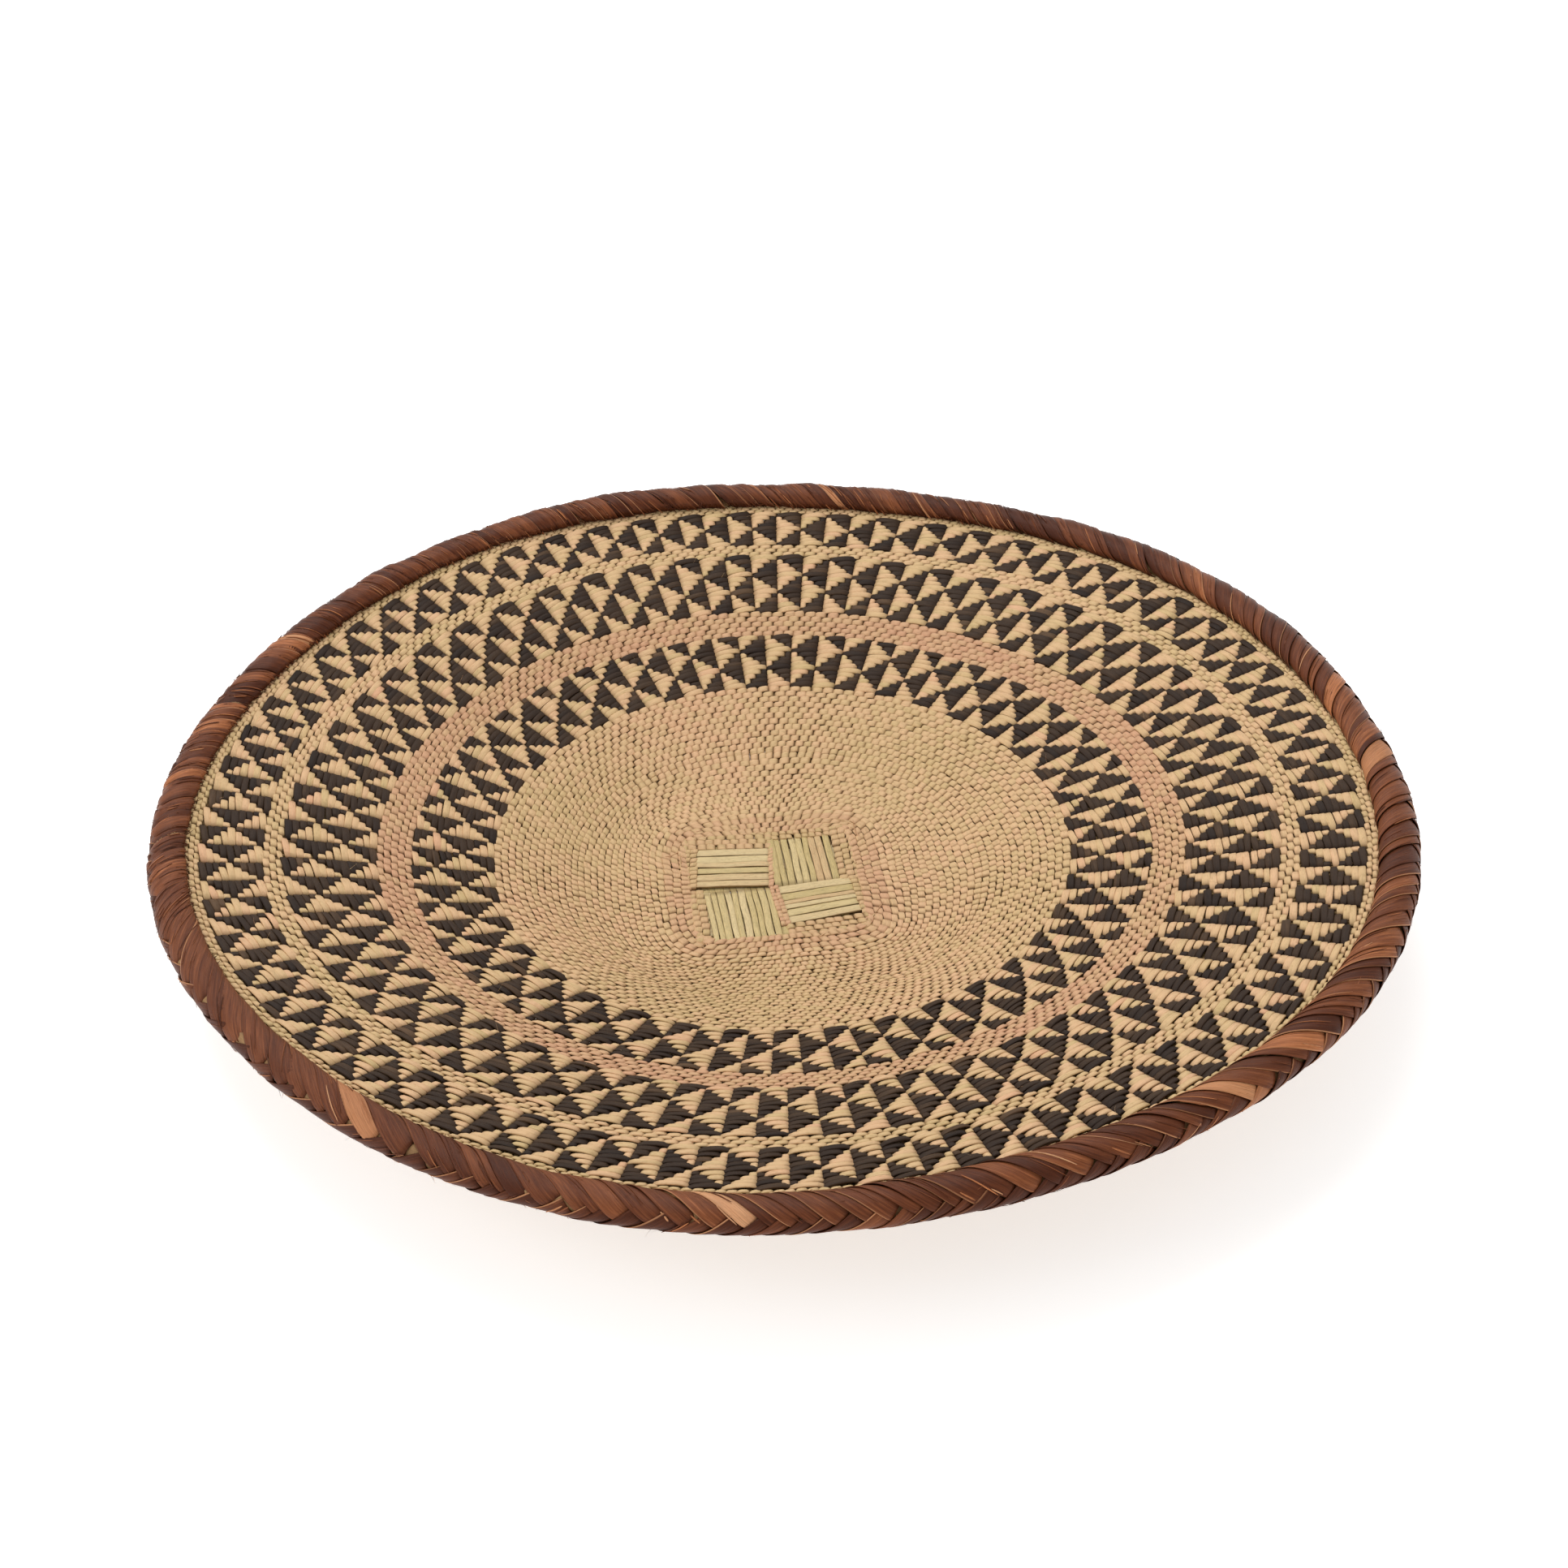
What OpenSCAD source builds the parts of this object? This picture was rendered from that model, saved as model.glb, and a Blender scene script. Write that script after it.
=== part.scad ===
// Winnowing basket: a shallow round dish of twined palm weft over radial stakes,
// started from a plaited square and finished with a bark-bound rim of two hoops.

/* [Dish] */
// Radius of the flat part that the basket rests on
base_r = 54; // [52:1:60]
// Radius of the woven dish, where it enters the rim
dish_r = 212; // [204:1:224]
// Height of the weave at the inner edge of the inner band, above the flat part
band_rise = 13; // [8:0.5:18]
// Height of the weave where it enters the rim, above the flat part
dish_rise = 41.8; // [34:0.2:50]

/* [Bands] */
// Inner edge of the inner band of triangles
inner_band_r = 108; // [104:0.5:112]
// Outer edge of the inner band
inner_band_end_r = 137; // [134:0.5:140]
// Inner edge of the middle band
middle_band_r = 149; // [146:0.5:152]
// Outer edge of the middle band
middle_band_end_r = 181; // [178:0.5:184]
// Inner edge of the outer band
outer_band_r = 187.5; // [185.5:0.5:190]
// Outer edge of the outer band
outer_band_end_r = 209; // [205:0.5:211]
// Repeats of the pattern round the inner, middle and outer bands
motifs = [39, 52, 62];

/* [Weave] */
// Thickness of the front layer of weft, and of the back layer
weft_t = 1; // [0.8:0.1:1.2]
// Thickness of the stakes between the two layers of weft
stake_t = 1; // [0.8:0.1:1.2]
// Distance from one row of weft to the next
row_pitch = 2.4; // [2:0.1:3.2]
// Width of one stake
stake_w = 1.8; // [1.2:0.1:2]

/* [Plaited start] */
// Side of the plaited square in the middle, across both bundles of splints
square_side = 48; // [44:1:52]
// Length of a splint in sight, from the middle of the square to the first rows
splint_reach = 30; // [26:1:32]
// How far the square sits off the middle of the dish, along X and Y
square_off = [-3, -9];
// Turn of the square on the dish, in degrees
square_turn = 6; // [0:1:12]
// Splints in each bundle that runs front to back
ns_count = 9; // [6:1:9]
// Splints in each bundle that runs side to side
ew_count = 5; // [4:1:6]

/* [Rim] */
// Radius of the rim's middle line
rim_r = 219; // [213:1:231]
// Width of the bound rim, across both hoops
rim_t = 14; // [12:0.5:16]
// Height of the bound rim
rim_h = 10; // [9:0.5:13]
// Thickness of the bark strips
bark_t = 1; // [0.8:0.1:1.2]
// Groups of bark strips round the rim
bark_groups = 48; // [40:8:96]
// One group in this many is of pale inner bark
pale_every = 8; // [5:1:20]

/* [Hidden] */
$fn = 96;
face_z = 2 * weft_t + stake_t;        // front face of the weave over the flat base
gap = 0.05;                           // room between layers that lie on each other
row_groove = 0.15;                    // depth of the valley between two rows
tile_t = 0.45;                        // how far the pale floats stand over the dark weft
square_h = square_side / 2;
tuck = 5;                             // splint length held under the first rows
binding_r = base_r;                   // outer edge of the rows that bind the square
splint_t = 1;
over_z = face_z - splint_t - 0.35;    // underside of a splint where it passes over
under_z = 0.35;                       // underside of a splint where it passes under
tuck_z = weft_t + gap;                // underside of a splint between the two wefts
ramp = 1.1;                           // half the length over which a splint changes level
rim_z = face_z + dish_rise + 0.5;     // height of the rim's middle line
roll_r = rim_t / 2;
core_r = roll_r - bark_t;             // what the hoops and the edge fill inside the bark
flat = rim_h / rim_t;                 // how much the roll is flattened
core_h = core_r * flat;               // half the height of what is inside the bark
spine_a = 15;                         // where upper and lower strips meet, from the outside
entry_a = [184, 236];                 // where the weave enters the roll

// Height of the dish over its flat base: it curls up, is steepest between the inner and
// the middle band, and eases off towards the rim
climb = dish_rise - band_rise;
profile = [
    [0, 0],
    [base_r, 0],
    [(base_r + inner_band_r) / 2 - 4, band_rise * 0.32],
    [inner_band_r, band_rise],
    [inner_band_end_r, band_rise + climb * 0.27],
    [middle_band_r, band_rise + climb * 0.43],
    [middle_band_end_r, band_rise + climb * 0.755],
    [outer_band_r, band_rise + climb * 0.81],
    [outer_band_end_r, band_rise + climb * 0.97],
    [dish_r, dish_rise],
];

pale = "#d8bc8b";
pink = "#dbb18c";
dark = "#3a3230";
straw = "#d0bf85";
bark = "#5d3526";
pale_bark = "#cd9462";
hoop_wood = "#a98558";

// Height of the weave's front face at radius r
function face(r) = face_z + lookup(r, profile);

// Radii between r1 and r2 at which the dish bends
function bends(r1, r2) = [for (p = profile) if (p[0] > r1 && p[0] < r2) p[0]];

// A ring of weft between two radii, from lo to hi under the front face, with rows on top
module weft_ring(r1, r2, lo, hi, rows = 0) {
    steps = max(1, 2 * rows);
    top = rows == 0
        ? concat([r1], bends(r1, r2), [r2])
        : [for (i = [0:steps]) r1 + (r2 - r1) * i / steps];
    low = concat([r1], bends(r1, r2), [r2]);
    rotate_extrude()
        polygon(concat(
            [for (i = [0:len(top) - 1])
                [top[i], face(top[i]) + hi - (rows > 0 && i % 2 == 0 ? row_groove : 0)]],
            [for (i = [len(low) - 1:-1:0]) [low[i], face(low[i]) + lo]]
        ));
}

module front_weft(r1, r2, top = 0) {
    rows = round((r2 - r1) / row_pitch);
    weft_ring(r1 + gap, r2 - gap, gap - weft_t, top, rows);
}

module back_weft(r1, r2) {
    weft_ring(r1 + gap, r2 - gap, -face_z, -weft_t - stake_t - gap);
}

// One triangle of pale floats: x is along the radius, y round the basket, and the straight
// edge is at y = width / 2. It fills half of one of the count repeats round the band.
module float_triangle(r1, r2, count, shape) {
    width = PI * r1 / count - 0.5;
    len = r2 - r1 - 0.4;
    tip = shape == "full" ? 0 : shape == "inner_half" ? -len / 2 : len / 2;
    mid = (r1 + r2) / 2;
    slope = atan((face(r2) - face(r1)) / (r2 - r1));
    translate([mid, 0, face(mid) - tile_t])
        rotate([0, -slope, 0])
            linear_extrude(tile_t)
                polygon([[-len / 2, width / 2], [len / 2, width / 2], [tip, -width / 2]]);
}

// Pale triangles of one band. Those of one family widen while those of the other narrow.
module pale_triangles(r1, r2, count, tiers) {
    tier = (r2 - r1) / tiers;
    turn = 360 / count;
    for (m = [0:count - 1])
        for (family = [0, 1])
            rotate(turn * (m + family / 2))
                for (t = [-family:2:tiers - 1])
                    float_triangle(
                        r1 + tier * max(t, 0),
                        r1 + tier * min(t + 2, tiers),
                        count,
                        t < 0 ? "inner_half" : t + 2 > tiers ? "outer_half" : "full"
                    );
}

// Flat stakes that follow the dish from r1 to its edge, spread evenly from a first angle
module stakes(r1, count, start) {
    run = concat([r1], bends(r1, dish_r), [dish_r - 1]);
    low = weft_t + stake_t;
    for (i = [0:count - 1])
        rotate([0, 0, start + 360 * i / count])
            translate([0, stake_w / 2, 0])
                rotate([90, 0, 0])
                    linear_extrude(stake_w)
                        polygon(concat(
                            [for (r = run) [r, face(r) - weft_t - gap]],
                            [for (j = [len(run) - 1:-1:0]) [run[j], face(run[j]) - low]]
                        ));
}

// Side view of a splint along x: over the far half, under the near half, both ends held
module splint_outline() {
    far = splint_reach;
    path = [
        [-square_h - tuck, tuck_z], [-square_h, tuck_z], [-square_h + 2 * ramp, under_z],
        [-ramp, under_z], [ramp, over_z],
        [far - 2 * ramp, over_z], [far, tuck_z], [far + tuck, tuck_z],
    ];
    polygon(concat(path, [for (i = [len(path) - 1:-1:0]) path[i] + [0, splint_t - 2 * gap]]));
}

// A bundle of flat splints side by side, filling the half of the square at y > 0
module splint_bundle(count) {
    room = square_h - 2 * ramp;
    pitch = room / count;
    for (i = [0:count - 1])
        translate([0, ramp + pitch * (i + 0.93), 0])
            rotate([90, 0, 0])
                linear_extrude(pitch * 0.86)
                    splint_outline();
}

module on_square(turn) {
    translate([square_off[0], square_off[1], 0])
        rotate([0, 0, square_turn + turn])
            children();
}

// The hole in the rows round the square: each bundle shows on one half of its side, where
// its splints reach further out before the rows hold them
module square_hole(depth) {
    for (turn = [0:90:270])
        on_square(turn)
            translate([-square_h, -square_h, -depth / 2])
                cube([square_h + splint_reach, square_h, depth]);
}

module ns_splints_left() { color(straw) on_square(-90) mirror([0, 1, 0]) splint_bundle(ns_count); }

module ns_splints_right() { color(straw) on_square(90) mirror([0, 1, 0]) splint_bundle(ns_count); }

module ew_splints_rear() { color(straw) on_square(180) mirror([0, 1, 0]) splint_bundle(ew_count); }

module ew_splints_front() { color(straw) on_square(0) mirror([0, 1, 0]) splint_bundle(ew_count); }

module binding_rows() {
    color(pink)
        difference() {
            translate([0, 0, face_z - weft_t + gap])
                cylinder(r = binding_r - gap, h = weft_t - gap);
            square_hole(4 * face_z);
        }
}

module centre_field_weft() { color(pale) front_weft(binding_r, inner_band_r); }

module inner_band_dark_weft() {
    color(dark) front_weft(inner_band_r, inner_band_end_r, -tile_t - gap);
}

module inner_band_pale_weft() {
    color(pale) pale_triangles(inner_band_r, inner_band_end_r, motifs[0], 3);
}

module inner_plain_ring_weft() { color(pink) front_weft(inner_band_end_r, middle_band_r); }

module middle_band_dark_weft() {
    color(dark) front_weft(middle_band_r, middle_band_end_r, -tile_t - gap);
}

module middle_band_pale_weft() {
    color(pale) pale_triangles(middle_band_r, middle_band_end_r, motifs[1], 3);
}

module outer_plain_ring_weft() { color(pale) front_weft(middle_band_end_r, outer_band_r); }

module outer_band_dark_weft() {
    color(dark) front_weft(outer_band_r, outer_band_end_r, -tile_t - gap);
}

module outer_band_pale_weft() {
    color(pale) pale_triangles(outer_band_r, outer_band_end_r, motifs[2], 2);
}

module edge_weft() { color(pale) front_weft(outer_band_end_r, dish_r); }

module radial_stakes() { color(straw) stakes(binding_r + 1, 78, 0); }

module middle_added_stakes() { color(straw) stakes(80, 78, 360 / 78 / 2); }

module outer_added_stakes() { color(straw) stakes(inner_band_end_r, 156, 360 / 78 / 4); }

module base_back_weft() {
    color(pale)
        difference() {
            cylinder(r = base_r, h = weft_t - gap);
            square_hole(4 * face_z);
        }
}

module centre_field_back_weft() { color(pale) back_weft(base_r, inner_band_r); }

module inner_band_back_weft() { color(dark) back_weft(inner_band_r, inner_band_end_r); }

module inner_plain_ring_back_weft() { color(pink) back_weft(inner_band_end_r, middle_band_r); }

module middle_band_back_weft() { color(dark) back_weft(middle_band_r, middle_band_end_r); }

module outer_plain_ring_back_weft() { color(pale) back_weft(middle_band_end_r, outer_band_r); }

module outer_band_back_weft() { color(dark) back_weft(outer_band_r, outer_band_end_r); }

module edge_back_weft() { color(pale) back_weft(outer_band_end_r, dish_r); }

// The weave's own edge: it runs under the inner hoop and turns up between the two hoops
module turned_up_edge() {
    leg_top = face(dish_r) - rim_z;
    leg_low = leg_top - face_z + gap;
    stand = 1.3;
    color(straw)
        rotate_extrude()
            translate([rim_r, rim_z])
                polygon([
                    [dish_r - rim_r + gap, leg_top], [-stand, leg_top + 0.2], [-stand, core_h * 0.85],
                    [stand, core_h * 0.85], [stand, leg_low + 1.2], [-0.5, leg_low],
                    [dish_r - rim_r + gap, leg_low],
                ]);
}

// A hoop of split wood, round outside and flat against the turned-up edge
module hoop(side, low) {
    flat_x = 1.3 + gap;
    color(hoop_wood)
        rotate_extrude()
            translate([rim_r, rim_z])
                intersection() {
                    scale([1, flat]) circle(r = core_r - gap);
                    translate([side > 0 ? flat_x : -core_r, low])
                        square([core_r - flat_x, core_h * 0.8 - low]);
                }
}

module inner_hoop() { hoop(-1, face(dish_r) - rim_z + 0.5); }

module outer_hoop() { hoop(1, -core_h * 0.8); }

// Part of the bark skin round the roll: from angle a1 to a2 in the rim's section, and one
// group's width of the rim in plan
module bark_arc(a1, a2, group) {
    reach = 2 * roll_r;
    mid = (a1 + a2) / 2;
    half = (a2 - a1) / 2;
    turn = 360 / bark_groups;
    rotate([0, 0, group * turn])
        rotate_extrude(angle = turn * 0.985)
            translate([rim_r, rim_z])
                scale([1, flat])
                    difference() {
                        circle(r = roll_r);
                        circle(r = core_r);
                        polygon(concat(
                            [[0, 0]],
                            [for (a = [mid + half:(360 - 2 * half) / 8:mid + 360 - half + 0.01])
                                reach * [cos(a), sin(a)]]
                        ));
                    }
}

function is_pale(group) = group % pale_every == 4;

module upper_bark_strips() {
    color(bark)
        for (g = [0:bark_groups - 1])
            if (!is_pale(g)) bark_arc(spine_a + 1, entry_a[0], g);
}

module lower_bark_strips() {
    color(bark)
        for (g = [0:bark_groups - 1])
            bark_arc(entry_a[1], 359 + spine_a, g);
}

module pale_bark_strips() {
    color(pale_bark)
        for (g = [0:bark_groups - 1])
            if (is_pale(g)) bark_arc(spine_a + 1, entry_a[0], g);
}

ns_splints_left();
ns_splints_right();
ew_splints_rear();
ew_splints_front();
binding_rows();
centre_field_weft();
inner_band_dark_weft();
inner_band_pale_weft();
inner_plain_ring_weft();
middle_band_dark_weft();
middle_band_pale_weft();
outer_plain_ring_weft();
outer_band_dark_weft();
outer_band_pale_weft();
edge_weft();
radial_stakes();
middle_added_stakes();
outer_added_stakes();
base_back_weft();
centre_field_back_weft();
inner_band_back_weft();
inner_plain_ring_back_weft();
middle_band_back_weft();
outer_plain_ring_back_weft();
outer_band_back_weft();
edge_back_weft();
turned_up_edge();
inner_hoop();
outer_hoop();
upper_bark_strips();
lower_bark_strips();
pale_bark_strips();
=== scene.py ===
"""Winnowing basket: twined palm weave, a plaited square start and a bark-bound rim."""
import math

import bpy
import mathutils
import numpy as np
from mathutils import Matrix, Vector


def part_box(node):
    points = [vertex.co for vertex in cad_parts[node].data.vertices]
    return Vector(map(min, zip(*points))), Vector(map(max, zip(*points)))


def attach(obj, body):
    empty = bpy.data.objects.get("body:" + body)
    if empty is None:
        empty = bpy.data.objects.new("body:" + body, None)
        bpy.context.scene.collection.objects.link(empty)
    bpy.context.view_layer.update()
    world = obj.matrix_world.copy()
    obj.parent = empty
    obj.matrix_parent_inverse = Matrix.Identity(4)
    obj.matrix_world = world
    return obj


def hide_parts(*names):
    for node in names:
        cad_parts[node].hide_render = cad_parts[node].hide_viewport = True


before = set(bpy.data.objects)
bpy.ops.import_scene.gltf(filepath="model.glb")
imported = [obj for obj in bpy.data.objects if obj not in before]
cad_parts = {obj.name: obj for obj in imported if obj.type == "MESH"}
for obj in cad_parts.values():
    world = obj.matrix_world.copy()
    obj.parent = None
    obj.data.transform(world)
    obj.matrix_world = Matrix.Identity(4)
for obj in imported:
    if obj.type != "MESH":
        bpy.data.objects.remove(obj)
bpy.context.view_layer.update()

MM = 0.001
TURN = 2 * math.pi
rng = np.random.default_rng(11)


# ---------------------------------------------------------------- sizes, from the frame

def outer(node):
    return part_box(node)[1][0]


def top(node):
    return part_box(node)[1][2]


def bottom(node):
    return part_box(node)[0][2]


BACK_RINGS = [
    "base_back_weft", "centre_field_back_weft", "inner_band_back_weft",
    "inner_plain_ring_back_weft", "middle_band_back_weft", "outer_plain_ring_back_weft",
    "outer_band_back_weft", "edge_back_weft",
]
HALF_STAKE = 0.55 * MM        # from the middle of the weave to its back layer of weft
EDGE_HALF = 1.3 * MM          # half the thickness of the edge that turns up inside the rim
BARK_THICK = 1.3 * MM         # the strips over the rim, where they lie two deep
ring_r = [outer(n) for n in BACK_RINGS]
ring_z = [top(n) + HALF_STAKE for n in BACK_RINGS]
(base_r, band1_r, band1_end, band2_r, band2_end, band3_r, band3_end, dish_r) = ring_r

rim_r = outer("turned_up_edge") - EDGE_HALF
rim_z = (top("upper_bark_strips") + bottom("lower_bark_strips")) / 2
roll_a = outer("lower_bark_strips") - rim_r       # half the width of the rim's roll
roll_b = top("upper_bark_strips") - rim_z         # half its height
roll_r = (roll_a + roll_b) / 2

SQUARE_HALF = 31 * MM         # half the side of the square that the first rows go round
SQUARE_OFF = np.array([-3.0, -9.0]) * MM      # its middle
SQUARE_TURN = math.radians(6)
ROUNDING = 14 * MM            # rows turn from square to round over about this far
PLAIT_OFF = np.array([-3.3, -11.5]) * MM      # the middle of the plaited start
PLAIT_TURN = math.radians(5.5)
QUARTER = TURN / 4
STAKES = 156                  # at the start
ADDED_R = 78 * MM             # where as many stakes again are added


# ---------------------------------------------------------------- the shape of the dish

def smooth(t):
    t = np.clip(t, 0, 1)
    return t * t * (3 - 2 * t)


def monotone_slopes(x, y):
    """Slopes for a smooth curve through the points that never overshoots them."""
    step = np.diff(y) / np.diff(x)
    inner = [0 if a * b <= 0 else 2 * a * b / (a + b) for a, b in zip(step[:-1], step[1:])]
    return np.array([0, *inner, step[-1]])


PROFILE_R = np.array([0, *ring_r])
PROFILE_Z = np.array([ring_z[0], *ring_z])
PROFILE_D = monotone_slopes(PROFILE_R, PROFILE_Z)


def mid_height(r):
    """Height of the middle of the weave at radius r."""
    i = np.clip(np.searchsorted(PROFILE_R, r) - 1, 0, len(PROFILE_R) - 2)
    w = PROFILE_R[i + 1] - PROFILE_R[i]
    t = np.clip((r - PROFILE_R[i]) / w, 0, 1.3)
    a = 2 * t**3 - 3 * t**2 + 1
    b = t**3 - 2 * t**2 + t
    c = t**3 - t**2
    return (a * PROFILE_Z[i] + (1 - a) * PROFILE_Z[i + 1]
            + w * (b * PROFILE_D[i] + c * PROFILE_D[i + 1]))


def lift(r, th):
    """The dish is a little twisted: its rim rises and falls twice round. Numbers in mm."""
    saddle = 0.45 * np.cos(2 * th) - 2.8 * np.sin(2 * th)
    waves = smooth(r / rim_r * 2.5 - 1.5) * (1.4 * np.cos(3 * th) + 0.7 * np.sin(3 * th))
    return MM * ((r / rim_r)**2.5 * saddle + waves)


def rim_wave(th):
    """How far the rim stands out from a true circle. Numbers in mm."""
    return MM * (0.4 + 1.6 * np.cos(th) + 2.2 * np.sin(th) - 0.4 * np.cos(2 * th)
                 + 0.6 * np.sin(2 * th) - 1.6 * np.cos(3 * th) - 0.7 * np.sin(3 * th)
                 - 0.6 * np.sin(4 * th) - 1.1 * np.cos(5 * th) - 0.9 * np.sin(5 * th))


def squareness(r, th):
    """Rows start square round the plaited start and turn into circles."""
    power = 2 + 6 * np.exp(-(r - SQUARE_HALF) / ROUNDING)
    a = th - SQUARE_TURN
    return (np.abs(np.cos(a))**power + np.abs(np.sin(a))**power)**(-1 / power)


def place(r, th, h):
    """A point h over the middle of the weave, at radius r and angle th round the dish."""
    slope = (mid_height(r + MM / 2) - mid_height(r - MM / 2)) / MM
    lean = 1 / np.sqrt(1 + slope**2)
    near_rim = smooth((r / rim_r - 0.6) / 0.4)
    wobble = 0.3 * MM * np.sin(9 * th + 90 * r) * np.sin(4 * th - 150 * r + 1)
    rr = (r - h * slope * lean + wobble + rim_wave(th) * near_rim) * squareness(r, th)
    drift = 1 - smooth((r - SQUARE_HALF) / (band1_r - SQUARE_HALF))
    return np.stack([
        rr * np.cos(th) + drift * SQUARE_OFF[0],
        rr * np.sin(th) + drift * SQUARE_OFF[1],
        mid_height(r) + h * lean + lift(r, th),
    ], -1)


def within(th, centre, half, soft=12):
    """One inside a sector of the rim, given in degrees, and none outside it."""
    away = np.abs((np.degrees(th) - centre + 180) % 360 - 180)
    return smooth((half + soft - away) / soft)


UNDER_BARK = 1 * MM           # the bark is laid on a roll this much smaller


def rim_place(th, phi, h):
    """A point h over the roll of the rim: phi is 0 outside, 90 degrees on top. The roll is
    thicker at the far right and thinner at the left and the front."""
    thick = (0.8 * within(th, 68, 38, 25) - 0.5 * within(th, 200, 30, 20)
             - 0.6 * within(th, 258, 8, 12)) * MM
    out = h + thick - UNDER_BARK
    rr = rim_r + rim_wave(th) + (roll_a + out) * np.cos(phi)
    z = rim_z + lift(rim_r, th) + (roll_b + out) * np.sin(phi) + 0.8 * thick
    return np.stack([rr * np.cos(th), rr * np.sin(th), z], -1)


# ---------------------------------------------------------------- meshes from ribbons

def link(name, data):
    """A new object of the scene that shows the given mesh, light or camera."""
    new = bpy.data.objects.new(name, data)
    bpy.context.scene.collection.objects.link(new)
    return new


def ribbons(name, points, along, across, tone):
    """One closed ribbon for each row of points, which has stations along it and a ring of
    section points at each station. along and across are the point's own place on its
    ribbon in metres, and tone is three numbers for each ribbon or point."""
    n, stations, ring = points.shape[:3]
    index = np.arange(n * stations * ring).reshape(n, stations, ring)
    a = index[:, :-1, :]
    b = np.roll(a, -1, 2)
    c = index[:, 1:, :]
    d = np.roll(c, -1, 2)
    quads = np.stack([a, b, d, c], -1)
    caps = np.stack([index[:, 0, ::-1], index[:, -1, :]], 1)

    # turn the faces of each ribbon outwards
    centre = points.mean(2, keepdims=True)
    p = points.reshape(-1, 3)
    normal = np.cross(p[b] - p[a], p[c] - p[a])
    out = ((normal * (p[a] - np.broadcast_to(centre, points.shape)[:, :-1])).sum(-1)
           .sum((1, 2)) < 0)
    quads[out] = quads[out][..., ::-1]
    caps[out] = caps[out][..., ::-1]

    loops = np.concatenate([quads.reshape(-1), caps.reshape(-1)])
    sizes = np.concatenate([np.full(quads.size // 4, 4), np.full(n * 2, ring)])
    mesh = bpy.data.meshes.new(name)
    mesh.vertices.add(len(p))
    mesh.vertices.foreach_set("co", p.ravel().astype(np.float32))
    mesh.loops.add(len(loops))
    mesh.loops.foreach_set("vertex_index", loops.astype(np.int32))
    mesh.polygons.add(len(sizes))
    starts = np.concatenate([[0], np.cumsum(sizes)[:-1]])
    mesh.polygons.foreach_set("loop_start", starts.astype(np.int32))
    mesh.update(calc_edges=True)
    mesh.polygons.foreach_set("use_smooth", np.ones(len(sizes), bool))

    # each ribbon has its own cell of the texture
    cols = max(1, math.ceil(math.sqrt(n / 2)))
    rows = math.ceil(n / cols)
    i, j, k = np.unravel_index(loops, (n, stations, ring))
    wrap = np.zeros(len(loops))
    q = quads.reshape(-1, 4) % ring
    wraps = (q.max(1) == ring - 1) & (q.min(1) == 0)
    wrap[:quads.size] = ((q == 0) & wraps[:, None]).ravel()
    u = (i % cols + 0.06 + 0.88 * j / (stations - 1)) / cols
    v = (i // cols + 0.06 + 0.88 * (k + wrap * ring) / ring) / rows
    uv = mesh.uv_layers.new(name="OFBake")
    uv.data.foreach_set("uv", np.stack([u, v], -1).ravel().astype(np.float32))

    seed = np.broadcast_to(rng.random((n, 1, 1)), points.shape[:3])
    strand = np.stack([np.broadcast_to(along, seed.shape),
                       np.broadcast_to(across, seed.shape), seed], -1)
    add_vectors(mesh, "strand", strand)
    add_vectors(mesh, "tone", np.broadcast_to(tone, points.shape))
    return link(name, mesh)


def add_vectors(mesh, name, values):
    layer = mesh.attributes.new(name, "FLOAT_VECTOR", "POINT")
    layer.data.foreach_set("vector", np.ascontiguousarray(values).ravel().astype(np.float32))


# ---------------------------------------------------------------- materials

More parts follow.
